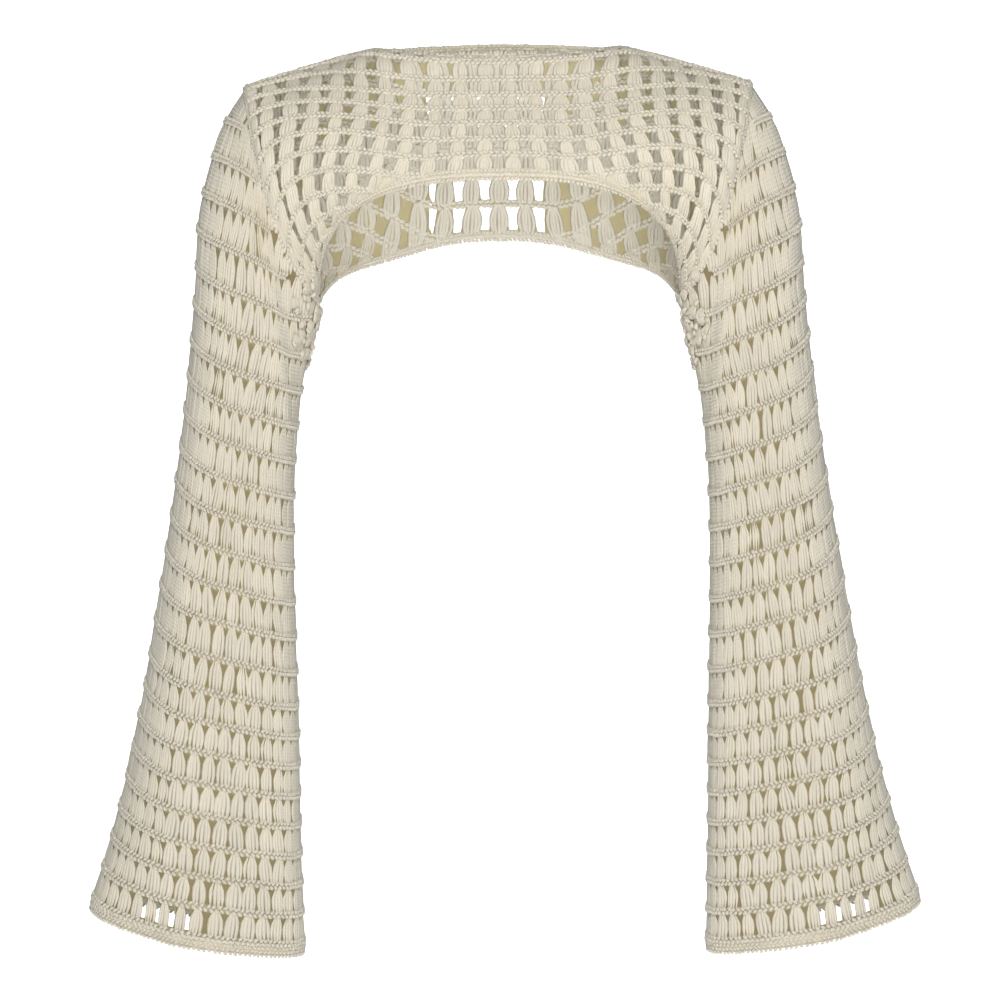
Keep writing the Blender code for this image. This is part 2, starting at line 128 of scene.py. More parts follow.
BUNCHING_TOP = 0.62
BUNCHING_HEIGHT = 0.25
BACK_LEAN_TURN = 40.0

SINK = 0.3
NET_THICKNESS = 0.6
ROW_RIDGE = 0.5
FLUTE_DEPTH = 2.2
FLUTES = 5
FLUTE_ROWS = 5.0
FLUTE_MOST = 1.2
FLUTE_PHASE = 0.8


# ------------------------------------------------------------------ the cloth's forms


def lerp(start, end, share):
    return start + (end - start) * share


def armhole(row, side):
    """Where a row, whole or not, meets the armhole: 0 at the shoulder tip, ROWS at the underarm."""
    share = row / ROWS
    angle = math.pi * lerp(share, share**CURL_POWER, UNDERARM_CURL)
    fall = (1 - np.cos(angle)) / 2
    x = lerp(SHOULDER_TIP_X, UNDERARM_X, lerp(fall, fall**CURL_POWER, UNDERARM_PULL))
    return np.stack([x, side * ARMHOLE_DEPTH * np.sin(angle),
                     lerp(ARMHOLE_TOP_Z, ARMHOLE_BOTTOM_Z, fall)], axis=-1)


def row_curve(panel, row, start):
    """The points of one row of a panel, from its start at the left armhole to the centre line."""
    share = row / ROWS
    side = panel["side"]
    angle = np.linspace(0, math.pi / 2, 361)
    across = np.cos(angle) ** (2 / BODY_ROUNDNESS)
    forward = np.sin(angle) ** (2 / BODY_ROUNDNESS)
    x = start[0] * across

    spread = math.sin(math.pi / 2 * share) ** CHEST_SPREAD
    blend = min(1.0, share / SHOULDER_SHARE)
    blend = blend * blend * (3 - 2 * blend)
    within_neck = np.clip(x / NECK_HALF_WIDTH, 0, 1)
    fading = np.clip(x / (NECK_HALF_WIDTH + NECK_FADE_WIDTH * blend), 0, 1)
    rounding = NECK_ROUNDING[0] + NECK_ROUNDING[1] * blend
    neckline = side * panel["neck_depth"] * (1 - fading**NECK_SQUARENESS) ** rounding
    chest = side * panel["body_depth"] * spread
    y = neckline * (1 - spread) ** NECK_FADE + start[1] * (1 - forward) + chest * forward

    reach = np.clip((x - NECK_HALF_WIDTH) / (SHOULDER_TIP_X - NECK_HALF_WIDTH), 0, 1)
    shoulder = lerp(NECK_POINT_Z, ARMHOLE_TOP_Z, reach**SHOULDER_SAG)
    top = np.where(within_neck < 1, lerp(panel["neck_z"], NECK_POINT_Z, within_neck**2), shoulder)
    centre_z = lerp(panel["neck_z"], panel["hem_z"], share ** panel["fall"])
    if share < MIDDLE_SHARE:
        arch = lerp(panel["arch_top"], panel["arch_middle"], share / MIDDLE_SHARE)
    else:
        past = (share - MIDDLE_SHARE) / (1 - MIDDLE_SHARE)
        arch = lerp(panel["arch_middle"], panel["arch_hem"], past**2)
    sag = panel["hem_sag"] * share**SAG_POWER * (1 - forward) * forward**SAG_PLACE
    below = start[2] + (centre_z - start[2]) * (forward**arch - sag)
    return np.column_stack([x, y, lerp(top, below, blend)])


def at_lengths(curve, lengths):
    """The points of a curve at these lengths along it."""
    steps = np.linalg.norm(np.diff(curve, axis=0), axis=1)
    measured = np.concatenate([[0], np.cumsum(steps)])
    return np.column_stack([np.interp(lengths, measured, curve[:, axis]) for axis in range(3)])


def curve_length(curve):
    return np.linalg.norm(np.diff(curve, axis=0), axis=1).sum()


class Cloth:
    """A smooth sheet that stitches are laid on. u counts repeats along a row and v counts rows
    upwards; out is the distance from the sheet in millimetres."""

    def __init__(self, u_values, v_values, points, closed=False, mirror=False):
        self.u_values, self.v_values = u_values, v_values
        self.points, self.closed, self.mirror = points, closed, mirror
        along = np.gradient(points, axis=1)
        if closed:
            along[:, 0] = along[:, -1] = (points[:, 1] - points[:, -2]) / 2
        up = np.gradient(points, axis=0)
        normals = np.cross(along, up)
        self.normals = normals / np.linalg.norm(normals, axis=2, keepdims=True)
        self.u_scale = np.linalg.norm(along, axis=2) / (u_values[1] - u_values[0])
        self.v_scale = np.linalg.norm(up, axis=2) / (v_values[1] - v_values[0])

    def look_up(self, values, u, v):
        x = (u - self.u_values[0]) / (self.u_values[1] - self.u_values[0])
        y = (v - self.v_values[0]) / (self.v_values[1] - self.v_values[0])
        if self.closed:
            x = x % (len(self.u_values) - 1)
        left = np.clip(np.floor(x).astype(int), 0, len(self.u_values) - 2)
        low = np.clip(np.floor(y).astype(int), 0, len(self.v_values) - 2)
        x, y = x - left, y - low
        if values.ndim == 3:
            x, y = x[..., None], y[..., None]
        return lerp(lerp(values[low, left], values[low, left + 1], x),
                    lerp(values[low + 1, left], values[low + 1, left + 1], x), y)

    def at(self, u, v, out):
        normal = self.look_up(self.normals, u, v)
        normal = normal / np.linalg.norm(normal, axis=-1, keepdims=True)
        place = self.look_up(self.points, u, v) + normal * out[..., None]
        return place * ((-1, 1, 1) if self.mirror else (1, 1, 1))

    def scales(self, u, v):
        v = np.clip(v, self.v_values[0], self.v_values[-1])
        u = u if self.closed else np.clip(u, self.u_values[0], self.u_values[-1])
        return self.look_up(self.u_scale, u, v), self.look_up(self.v_scale, u, v)


def panel_cloth(panel):
    """A yoke panel: u runs to the viewer's right as seen from outside it, v from the hem up."""
    repeats = panel["repeats"]
    u_values = np.linspace(0, repeats, repeats * 8 + 1)
    v_values = np.linspace(0, ROWS, ROWS * 12 + 1)
    columns = repeats - u_values if panel["side"] < 0 else u_values
    half = repeats / 2
    folded = np.where(columns <= half, columns, repeats - columns)
    lines = []
    for v in v_values:
        row = ROWS - v
        curve = row_curve(panel, row, armhole(row, panel["side"]))
        length = curve_length(curve)
        even = length * folded / half
        inside = np.nonzero(curve[:, 0] <= NECK_HALF_WIDTH)[0][0]
        shoulder = curve_length(curve[:inside + 1])
        at_neck = np.interp(folded, [0, NECK_SHARE * repeats, half],
                            [0, shoulder, length])
        line = at_lengths(curve, lerp(at_neck, even, min(1.0, row)))
        line[columns > half, 0] *= -1
        lines.append(line)
    cloth = Cloth(u_values, v_values, np.array(lines))
    cloth.repeats = repeats
    return cloth


def yoke_aside(panel, u):
    """How far each u lies towards the armholes: 0 in the middle of the panel and 1 at the sides."""
    aside = np.clip((np.abs(2 * u / panel["repeats"] - 1) - ASIDE_START) / ASIDE_SPAN, 0, 1)
    return aside * aside * (3 - 2 * aside)


def yoke_closing(panel, u):
    """Where the net of a panel is fuller: 0 in the middle, 1 from some way out to the armholes."""
    return np.clip((np.abs(2 * u / panel["repeats"] - 1) - CLOSING_START) / CLOSING_SPAN, 0, 1)


def yoke_bunching(panel, u, v):
    """How closely the stitches are drawn together under the arms, from 0 to 1."""
    aside = np.clip((np.abs(2 * u / panel["repeats"] - 1) - BUNCHING_START) / BUNCHING_SPAN, 0, 1)
    return aside * np.clip((ROWS * BUNCHING_TOP - v) / (ROWS * BUNCHING_HEIGHT), 0, 1)


def yoke_line(panel, u, line):
    """Where a row line runs at each u, from 0 at the neckline; the lower ones run out at the hem.
    There are more rows at the sides, where they are short near the shoulder and taller below."""
    aside = yoke_aside(panel, u)
    rows = lerp(panel["middle_rows"], panel["side_rows"], aside)
    share = np.clip(line / rows, 0, PAST_HEM)
    dip = SIDE_DIP * aside * np.sin(math.pi * np.clip((share - DIP_START) / (1 - DIP_START), 0, 1))
    return ROWS * (1 - share - dip)


def yoke_span(panel, u, row):
    """Lower and upper ends of a row at each u, and whether the row is there; 0 is the neckline."""
    high, low = yoke_line(panel, u, row), yoke_line(panel, u, row + 1)
    least = YOKE_LAST_SHARE * ROWS / panel["side_rows"]
    return np.where(yoke_line(panel, u, row + 2) < -ROWS / panel["side_rows"] + least, 0.0,
                    np.maximum(low, 0.0)), high, high > least


def soft_rings():
    """The sleeve's table, run on past both ends and rounded where one stretch meets the next."""
    table = np.array(SLEEVE_RINGS)
    first = table[0] + (table[0] - table[1]) * 2
    last = table[-1] + (table[-1] - table[-2]) * 3
    table = np.vstack([first, table, last])
    heights = np.arange(table[0, 0], table[-1, 0], 1.0)
    weights = np.hanning(2 * RING_SMOOTHING + 1)
    weights /= weights.sum()
    columns = []
    for column in table.T[1:]:
        values = np.interp(heights, table[:, 0], column)
        padded = np.pad(values, RING_SMOOTHING, mode="reflect", reflect_type="odd")
        columns.append(np.convolve(padded, weights, mode="valid"))
    return heights, columns


RING_HEIGHTS, RING_VALUES = soft_rings()


def tube_point(angle, height):
    """A point of the sleeve's tube: angle 0 outside, 90 degrees in front, 180 at the inner arm."""
    inner, outer, fold, depth, slope_out, slope_back, inner_power, outer_power = (
        np.interp(height, RING_HEIGHTS, values) for values in RING_VALUES)
    across, forward = np.cos(angle), np.sin(angle)
    power = 2 / np.where(across > 0, outer_power, inner_power)
    reach = np.where(across > 0, outer - fold, fold - inner)
    x = fold + np.sign(across) * reach * np.abs(across) ** power
    y = -np.sign(forward) * depth * np.abs(forward) ** power
    back_fold = depth * (1 - depth / BACK_LEAN_TURN)
    outer_lean = np.where(y > 0, y * (1 - y / BACK_LEAN_TURN), y)
    inner_lean = -depth + (back_fold + depth) * np.maximum(0, y / depth)
    lean = np.where(across > 0, outer_lean, inner_lean)
    z = height + slope_out * (x - (inner + outer) / 2) + slope_back * lean
    return np.stack([x, y, z], axis=-1)


def row_height(v):
    """Height of a sleeve's row line at its middle; the lowest rows are shorter."""
    return SLEEVE_RINGS[0][0] + np.where(v < CUFF_ROWS, v * CUFF_PITCH,
                                         CUFF_ROWS * CUFF_PITCH + (v - CUFF_ROWS) * SLEEVE_PITCH)


def row_number(height):
    """The row coordinate of a height: row_height the other way round."""
    rise = height - SLEEVE_RINGS[0][0]
    cuff = CUFF_ROWS * CUFF_PITCH
    return np.where(rise < cuff, rise / CUFF_PITCH, CUFF_ROWS + (rise - cuff) / SLEEVE_PITCH)


def puff_angles(height, shares):
    """Angles round the tube that are evenly spaced along it, from the inner arm over the front."""
    fine = math.pi - np.linspace(0, 2 * math.pi, 1441)
    ring = tube_point(fine, np.full_like(fine, min(height, CAP_SPACING_HEIGHT)))
    measured = np.concatenate([[0], np.cumsum(np.linalg.norm(np.diff(ring, axis=0), axis=1))])
    return np.interp(shares * measured[-1], measured, fine)


def sleeve_cloth(mirror):
    """A sleeve as a tube, and the row coordinate at which each u ends at the armhole."""
    u_values = np.linspace(0, SLEEVE_PUFFS, SLEEVE_PUFFS * 6 + 1)
    v_values = np.linspace(-1, SLEEVE_ROWS, (SLEEVE_ROWS + 1) * 8 + 1)
    lines = []
    for v in v_values:
        height = float(row_height(v))
        angles = puff_angles(height, u_values / SLEEVE_PUFFS)
        side = np.where(angles >= 0, -1, 1)
        start = armhole(np.abs(angles) / math.pi * ROWS, side)
        top = start[:, 2].copy()
        for _ in range(CAP_SOLVE_STEPS):
            top += start[:, 2] - tube_point(angles, top)[:, 2]
        shift = start - tube_point(angles, top)
        ease = np.clip(1 - (top - height) / CAP_EASE, 0, 1)[:, None]
        lines.append(tube_point(angles, np.full_like(angles, height))
                     + shift * ease * ease * (3 - 2 * ease))
    cloth = Cloth(u_values, v_values, np.array(lines), closed=True, mirror=mirror)
    across, up = np.meshgrid(u_values, v_values)
    fade = np.clip(1 - up / FLUTE_ROWS, 0, FLUTE_MOST) ** 2
    flutes = FLUTE_DEPTH * fade * np.sin(2 * math.pi * FLUTES * across / SLEEVE_PUFFS
                                         + FLUTE_PHASE)
    ridges = ROW_RIDGE * np.cos(2 * math.pi * up)
    cloth = Cloth(u_values, v_values, cloth.points + cloth.normals * (flutes + ridges)[..., None],
                  closed=True, mirror=mirror)
    cloth.tops = row_number(top)
    return cloth


def sleeve_top(cloth, u):
    """The row coordinate at which the sleeve ends at the armhole."""
    return np.interp(u % SLEEVE_PUFFS, cloth.u_values, cloth.tops)


# ------------------------------------------------------------------ stitches

# How much painted shade a stitch has at its middle, and how much less for each millimetre outwards
INWARD_MIDDLE = 0.3
INWARD_FALL = 0.6

# How much stitches vary: standard deviations of shares of their size, of lean and of millimetres
WIDTH_VARIES = 0.06
HEIGHT_VARIES = 0.03
LEAN_VARIES = 0.05
LIFT_VARIES = 0.18
PLACE_VARIES = 0.3
TINT_VARIES = 0.2

# How much the cords within one stitch vary, and how the cords of a puff and of a band are set
STRAND_DRIFT = 0.14
STRAND_DEPTH = 0.25
SIDE_STRAND_DEPTH = 0.3
STRAND_SIZES = (0.92, 1.06)
LOOP_LEAN = 0.2
LOOP_STAGGER = 0.25
LOOP_DRIFT = 0.12
LOOP_RISE = 0.2
LOOP_DEPTH = 0.25
LOOP_SIZES = (0.88, 1.1)
LOOP_FLATNESS = 1.3


class Shape:
    """A small mesh read into lists, to be laid many times. Its axes: along the row, up and out."""

    def __init__(self, mesh_edit):
        uv_layer = mesh_edit.loops.layers.uv.active
        self.points = np.array([vertex.co[:] for vertex in mesh_edit.verts])
        mesh_edit.verts.index_update()
        corners = [[loop for loop in face.loops] for face in mesh_edit.faces]
        self.sizes = np.array([len(face) for face in corners])
        self.corners = np.array([loop.vert.index for face in corners for loop in face])
        self.uvs = np.array([loop[uv_layer].uv[:] for face in corners for loop in face])
        order = [place for start, size in zip(np.cumsum(self.sizes) - self.sizes, self.sizes)
                 for place in range(start + size - 1, start - 1, -1)]
        self.turned = np.array(order)
        # Painted shade: the parts of a stitch nearer the cloth are painted more shaded
        self.painted_light_and_shade = np.clip(INWARD_MIDDLE - self.points[:, 2] * INWARD_FALL, 0, 1)
        mesh_edit.free()


def add_cord(mesh_edit, line, radii, sides, flatness=1.0):
    """A short cord with pointed ends: a grid of faces that is rolled up round a line of points."""
    line = np.array(line, float)
    tip = 0.5 if len(line) == 2 else 0.25
    ends = [line[0] - (line[1] - line[0]) * tip, line[-1] + (line[-1] - line[-2]) * tip]
    line = np.vstack([ends[0], line, ends[1]])
    radii = [0.0, *radii, 0.0]
    lengths = np.concatenate([[0], np.cumsum(np.linalg.norm(np.diff(line, axis=0), axis=1))])
    made = bmesh.ops.create_grid(mesh_edit, x_segments=sides, y_segments=len(line) - 1, size=0.5,
                                 calc_uvs=True)
    uv_layer = mesh_edit.loops.layers.uv.active
    stations = {}
    for vertex in made["verts"]:
        side = round((vertex.co.x + 0.5) * sides)
        station = round((vertex.co.y + 0.5) * (len(line) - 1))
        before, after = line[max(station - 1, 0)], line[min(station + 1, len(line) - 1)]
        way = Vector(after - before).normalized()
        beside = way.cross(Vector((0, 0, 1))).normalized()
        turn = 2 * math.pi * side / sides
        stations[vertex] = (side / sides, lengths[station])
        vertex.co = (Vector(line[station]) + beside * radii[station] * math.cos(turn)
                     + Vector((0, 0, flatness)) * radii[station] * math.sin(turn))
    for vertex, place in stations.items():
        for loop in vertex.link_loops:
            loop[uv_layer].uv = place
    bmesh.ops.remove_doubles(mesh_edit, verts=made["verts"], dist=1e-5)


def new_stitch():
    mesh_edit = bmesh.new()
    mesh_edit.loops.layers.uv.new("strand")
    return mesh_edit


def finish_stitch(mesh_edit):
    bmesh.ops.recalc_face_normals(mesh_edit, faces=mesh_edit.faces[:])
    return Shape(mesh_edit)


def puff_shape(seed, length, spread, widths, radii, bulge, strands=4, sides=4):
    """A puff: upright cords side by side, gathered at both ends. widths is how far apart they are
    from the foot to the top, as shares of spread. Each seed gives a slightly different puff."""
    rng = np.random.default_rng(seed)
    mesh_edit = new_stitch()
    stations = np.linspace(0, 1, len(widths))
    for number in range(strands):
        place = number - (strands - 1) / 2 + rng.uniform(-STRAND_DRIFT, STRAND_DRIFT)
        out = rng.uniform(-STRAND_DEPTH, STRAND_DEPTH)
        out -= SIDE_STRAND_DEPTH if abs(place) > 1 else 0.0
        size = rng.uniform(*STRAND_SIZES)
        line = [(place * spread * width, (station - 0.5) * length,
                 out + bulge * math.sin(math.pi * station))
                for station, width in zip(stations, widths)]
        add_cord(mesh_edit, line, [radius * size for radius in radii], sides)
    return finish_stitch(mesh_edit)


def loop_shapes(seed, pitch, count, rise, length, radius, slant, lift, lines=2, sides=5):
    """Lines of short slanting loops, one over the other, leaning opposite ways by turns. Each seed
    gives slightly different loops."""
    rng = np.random.default_rng(seed)
    mesh_edit = new_stitch()
    for line in range(lines):
        level = line - (lines - 1) / 2
        for number in range(count):
            lean = slant * (-1) ** line + rng.uniform(-LOOP_LEAN, LOOP_LEAN)
            middle = (number + 0.5 - count / 2 + LOOP_STAGGER * (-1) ** line) * pitch / count
            middle += rng.uniform(-LOOP_DRIFT, LOOP_DRIFT) * pitch / count
            run, climb = math.cos(lean) * length / 4, math.sin(lean) * length / 4
            height = level * rise + rng.uniform(-LOOP_RISE, LOOP_RISE)
            out = lift + rng.uniform(-LOOP_DEPTH, LOOP_DEPTH)
            size = radius * rng.uniform(*LOOP_SIZES)
            add_cord(mesh_edit, [(middle - run, height - climb, out),
                                 (middle + run, height + climb, out)], [size, size], sides,
                     LOOP_FLATNESS)
    shape = finish_stitch(mesh_edit)
    shape.pitch = pitch
    return shape


def knob_shape(length, radius):
    """One short thick cord, as in a knot."""
    mesh_edit = new_stitch()
    add_cord(mesh_edit, [(0, -length / 2, 0), (0, -length / 6, 0.8), (0, length / 6, 0.8),
                         (0, length / 2, 0)], [radius * 0.6, radius, radius, radius * 0.6], 6)
    return finish_stitch(mesh_edit)


class Bag:
    """Every stitch and net that becomes one piece, kept as lists until the piece is made."""

    def __init__(self):
        self.parts = []
        self.count = 0

    def add(self, points, shape, tints, turned, shade=1.0):
        copies, size = points.shape[:2]
        corners, uvs = shape.corners, shape.uvs
        if turned:
            corners, uvs = corners[shape.turned], uvs[shape.turned]
        starts = self.count + size * np.arange(copies)[:, None]
        self.parts.append((points.reshape(-1, 3), (corners[None] + starts).ravel(),
                           np.tile(shape.sizes, copies), np.tile(uvs, (copies, 1)),
                           np.repeat(tints, size), np.tile(shape.painted_light_and_shade * shade, copies)))
        self.count += copies * size

    def make(self, name, material):
        points, corners, sizes, uvs, tints, painted_light_and_shade = (
            np.concatenate(column) for column in zip(*self.parts))
        mesh = bpy.data.meshes.new(name)
        mesh.vertices.add(len(points))
        mesh.vertices.foreach_set("co", (points * MM).astype(np.float32).ravel())
        mesh.loops.add(len(corners))
        mesh.loops.foreach_set("vertex_index", corners.astype(np.int32))
        mesh.polygons.add(len(sizes))
        mesh.polygons.foreach_set("loop_start", (np.cumsum(sizes) - sizes).astype(np.int32))
        mesh.uv_layers.new(name="strand")
        mesh.uv_layers["strand"].data.foreach_set("uv", uvs.astype(np.float32).ravel())
        for key, values in (("tint", tints), ("painted_light_and_shade", painted_light_and_shade)):
            attribute = mesh.attributes.new(key, "FLOAT", "POINT")
            attribute.data.foreach_set("value", values.astype(np.float32))
        mesh.update(calc_edges=True)
        mesh.validate()
        mesh.shade_smooth()
        mesh.materials.append(material)
        piece = bpy.data.objects.new(name, mesh)
        bpy.context.scene.collection.objects.link(piece)
        return piece


def lay(bag, shape, cloth, u, v, rng, wide=1.0, tall=1.0, lean=0.0, turn=0.0, lift=0.0, loose=1.0,
        shade=1.0):
    """Lays a stitch at every (u, v). Each differs a little in place, width, lean and height."""
    u, v = np.broadcast_arrays(np.asarray(u, float), np.asarray(v, float))
    copies = len(u)
    u_scale, v_scale = cloth.scales(u, v)
    wide = wide * (1 + WIDTH_VARIES * loose * rng.standard_normal(copies))
    tall = tall * (1 + HEIGHT_VARIES * loose * rng.standard_normal(copies))
    lean = lean + LEAN_VARIES * loose * rng.standard_normal(copies)
    lift = lift + LIFT_VARIES * loose * rng.standard_normal(copies)
    drift = PLACE_VARIES * loose * rng.standard_normal((2, copies))
    across = shape.points[None, :, 0] * wide[:, None]
    up = shape.points[None, :, 1] * tall[:, None]
    across, up = (across * np.cos(turn) - up * np.sin(turn),
                  across * np.sin(turn) + up * np.cos(turn))
    across = across + up * lean[:, None] + drift[0, :, None]
    up = up + drift[1, :, None]
    out = shape.points[None, :, 2] + np.reshape(lift, (-1, 1)) - SINK
    places = cloth.at(u[:, None] + across / u_scale[:, None], v[:, None] + up / v_scale[:, None],
                      out)
    tints = 0.5 + TINT_VARIES * rng.standard_normal(copies)
    bag.add(places, shape, np.clip(tints, 0, 1), cloth.mirror, shade)


def lay_mixed(bag, shapes, cloth, u, v, rng, **fit):
    """Lays stitches of several slightly different shapes, mixed at random."""
    u, v = np.broadcast_arrays(np.asarray(u, float), np.asarray(v, float))
    kinds = rng.integers(0, len(shapes), len(u))
    for kind, shape in enumerate(shapes):
        chosen = kinds == kind
        if chosen.any():
            lay(bag, shape, cloth, u[chosen], v[chosen], rng,
                **{name: value[chosen] if np.ndim(value) else value for name, value in fit.items()})


def lay_net(bag, cloth, u, v, gaps, thickness=NET_THICKNESS, outside=0.0, inside=1.0, light=None):
    """A thin sheet behind the stitches. u and v give its lines' places and gaps its open cells.
    outside and inside say how much painted shade its two faces have, and light gives places with
    less painted shade."""
    rows, columns = u.shape
    mesh_edit = bmesh.new()
    mesh_edit.loops.layers.uv.new("strand")
    number = mesh_edit.verts.layers.int.new("number")
    raised = mesh_edit.verts.layers.int.new("raised")
    bmesh.ops.create_grid(mesh_edit, x_segments=columns - 1, y_segments=rows - 1, size=0.5)
    flat = np.zeros_like(u)
    low = cloth.at(u, v, flat - thickness / 2 - SINK).reshape(-1, 3)
    high = cloth.at(u, v, flat + thickness / 2 - SINK).reshape(-1, 3)
    for vertex in mesh_edit.verts:
        column = round((vertex.co.x + 0.5) * (columns - 1))
        row = round((vertex.co.y + 0.5) * (rows - 1))
        vertex[number] = row * columns + column
    cells = {min(vertex[number] for vertex in face.verts): face for face in mesh_edit.faces}
    open_cells = [cells[row * columns + column] for row, column in zip(*np.nonzero(gaps))]
    bmesh.ops.delete(mesh_edit, geom=open_cells, context="FACES")
    for vertex in mesh_edit.verts:
        vertex.co = low[vertex[number]]
    bmesh.ops.remove_doubles(mesh_edit, verts=mesh_edit.verts[:], dist=0.02)
    sheet = mesh_edit.faces[:] + mesh_edit.edges[:] + mesh_edit.verts[:]
    made = bmesh.ops.extrude_face_region(mesh_edit, geom=sheet, use_keep_orig=True)
    for item in made["geom"]:
        if isinstance(item, bmesh.types.BMVert):
            item.co = high[item[number]]
            item[raised] = 1
    painted_light_and_shade = np.where([vertex[raised] for vertex in mesh_edit.verts], outside, inside)
    if light is not None:
        painted_light_and_shade *= 1 - light.ravel()[[vertex[number] for vertex in mesh_edit.verts]]
    bmesh.ops.recalc_face_normals(mesh_edit, faces=mesh_edit.faces[:])
    if mesh_edit.calc_volume(signed=True) < 0:
        bmesh.ops.reverse_faces(mesh_edit, faces=mesh_edit.faces[:])
    shape = Shape(mesh_edit)
    shape.painted_light_and_shade = painted_light_and_shade
    bag.add(shape.points[None], shape, np.full(1, 0.5), False)


# ------------------------------------------------------------------ materials


SOFT_YARN = {"Roughness": 0.92, "Specular IOR Level": 0.25, "Sheen Weight": 0.25,
             "Sheen Roughness": 0.6, "Sheen Tint": (1.0, 0.97, 0.9, 1.0)}


def yarn_material(name, colour, shade, twist):
    """Soft matt cotton yarn: twisted plies, stray fibres and tufts a little lighter or darker.
    Where a stitch is painted as shaded, the colour is blended towards shade, a painted shade colour
    (a lighter, painted light colour in the back's yarn).
    """
    material = bpy.data.materials.new(name)
    material.use_nodes = True
    tree = material.node_tree
    nodes, links = tree.nodes, tree.links
    shader = nodes["Principled BSDF"]

    def node(kind, **settings):
        made = nodes.new(kind)
        for key, value in settings.items():
            setattr(made, key, value)
        return made

    def maths(operation, first, second=None):
        made = node("ShaderNodeMath", operation=operation)
        for place, value in enumerate((first, second)):
            if value is None:
                continue
            if isinstance(value, (int, float)):
                made.inputs[place].default_value = value
            else:
                links.new(value, made.inputs[place])
        return made.outputs[0]

    def mix(factor, first, second):
        made = node("ShaderNodeMix", data_type="RGBA")
        for socket, value in zip((made.inputs[0], made.inputs[6], made.inputs[7]),
                                 (factor, first, second)):
            if isinstance(value, (tuple, float)):
                socket.default_value = value
            else:
                links.new(value, socket)
        return made.outputs[2]

    place = node("ShaderNodeTexCoord").outputs["Object"]
    tint = node("ShaderNodeAttribute", attribute_name="tint").outputs["Fac"]
    painted_light_and_shade = node("ShaderNodeAttribute", attribute_name="painted_light_and_shade").outputs["Fac"]
    patches = node("ShaderNodeTexNoise")
    patches.inputs["Scale"].default_value = 34.0
    patches.inputs["Detail"].default_value = 3.0
    fibres = node("ShaderNodeTexNoise")
    fibres.inputs["Scale"].default_value = 1500.0
    fibres.inputs["Detail"].default_value = 2.0
    for texture in (patches, fibres):
        links.new(place, texture.inputs["Vector"])

    darker = tuple(part * 0.86 for part in colour[:3]) + (1.0,)
    tone = maths("ADD", maths("MULTIPLY", tint, 0.6),
                 maths("MULTIPLY", patches.outputs["Fac"], 0.5))
    base = mix(tone, darker, colour)
    # Painted shade: blended towards the shade colour where the stitch or net is painted as shaded
    base = mix(maths("MULTIPLY", painted_light_and_shade, 0.75), base, shade)
    links.new(base, shader.inputs["Base Color"])
    for socket, value in SOFT_YARN.items():
        shader.inputs[socket].default_value = value

    strand = node("ShaderNodeUVMap", uv_map="strand").outputs["UV"]
    parts = node("ShaderNodeSeparateXYZ")
    links.new(strand, parts.inputs[0])
    turns = maths("ADD", maths("MULTIPLY", parts.outputs["X"], 3.0),
                  maths("MULTIPLY", parts.outputs["Y"], twist))
    plies = maths("SINE", maths("MULTIPLY", turns, 2 * math.pi))
    relief = maths("ADD", maths("MULTIPLY", plies, 0.35), fibres.outputs["Fac"])
    bump = node("ShaderNodeBump")
    bump.inputs["Strength"].default_value = 0.5
    bump.inputs["Distance"].default_value = 0.00035
    links.new(relief, bump.inputs["Height"])
    links.new(bump.outputs["Normal"], shader.inputs["Normal"])
    return material


def plain_material(name, colour, roughness):
    material = bpy.data.materials.new(name)
    material.use_nodes = True
    shader = material.node_tree.nodes["Principled BSDF"]
    shader.inputs["Base Color"].default_value = colour
    shader.inputs["Roughness"].default_value = roughness
    return material


CREAM = (0.765, 0.715, 0.617, 1.0)
# Painted shade: the olive colour that the sleeves' puffs are painted with where they are painted as
# shaded
CREAM_PAINTED_SHADE = (0.72, 0.635, 0.42, 1.0)
PUFF_YARN = yarn_material("puff_yarn", CREAM, CREAM_PAINTED_SHADE, 0.45)
# Painted shade: the loops' crevices are painted a darker olive
LOOP_YARN = yarn_material("loop_yarn", CREAM, (0.52, 0.44, 0.27, 1.0), 0.6)
# Painted shade: the yoke's net and inner stitch parts are painted olive
YOKE_YARN = yarn_material("yoke_yarn", (0.81, 0.755, 0.645, 1.0), (0.60, 0.535, 0.36, 1.0), 0.5)
# Painted shade: the sleeves' net is olive, darker still in its slits, standing for the shaded
# inside of the sleeve
PAINTED_SHADE_NET_YARN = yarn_material("net_yarn", (0.62, 0.56, 0.42, 1.0), (0.16, 0.115, 0.02, 1.0), 0.0)
# Painted light: the back's yarn is a little lighter than the cream, and lighter still on the inner
# side of its stitches
BACK_PAINTED_LIGHT_YARN = yarn_material("back_painted_light_yarn", (0.83, 0.775, 0.665, 1.0), (1.0, 0.96, 0.86, 1.0), 0.5)
# Painted shade: the back's net is dark olive outside and lighter olive inside, filling holes that
# would show shade
BACK_NET_YARN = yarn_material("back_painted_shade_net_yarn", (0.40, 0.345, 0.20, 1.0), (0.76, 0.67, 0.40, 1.0),
                              0.0)

# ------------------------------------------------------------------ the yoke


def kinds(make, *sizes, number=5, **more):
    """Several slightly different stitches of one size."""
    return [make(seed, *sizes, **more) for seed in range(number)]


YOKE_PUFF_HEIGHT = 13.0
YOKE_BAR_LENGTH = 16.3
SLEEVE_PUFF_HEIGHT = 17.0
SLEEVE_PUFF_PITCH = 9.6
SLEEVE_BAND_LENGTH = 10.0
SEAM_LOOP_LENGTH = 10.0
BAR_LOOSENESS = 0.4
BAND_LOOSENESS = 0.5
EDGE_LOOSENESS = 0.35

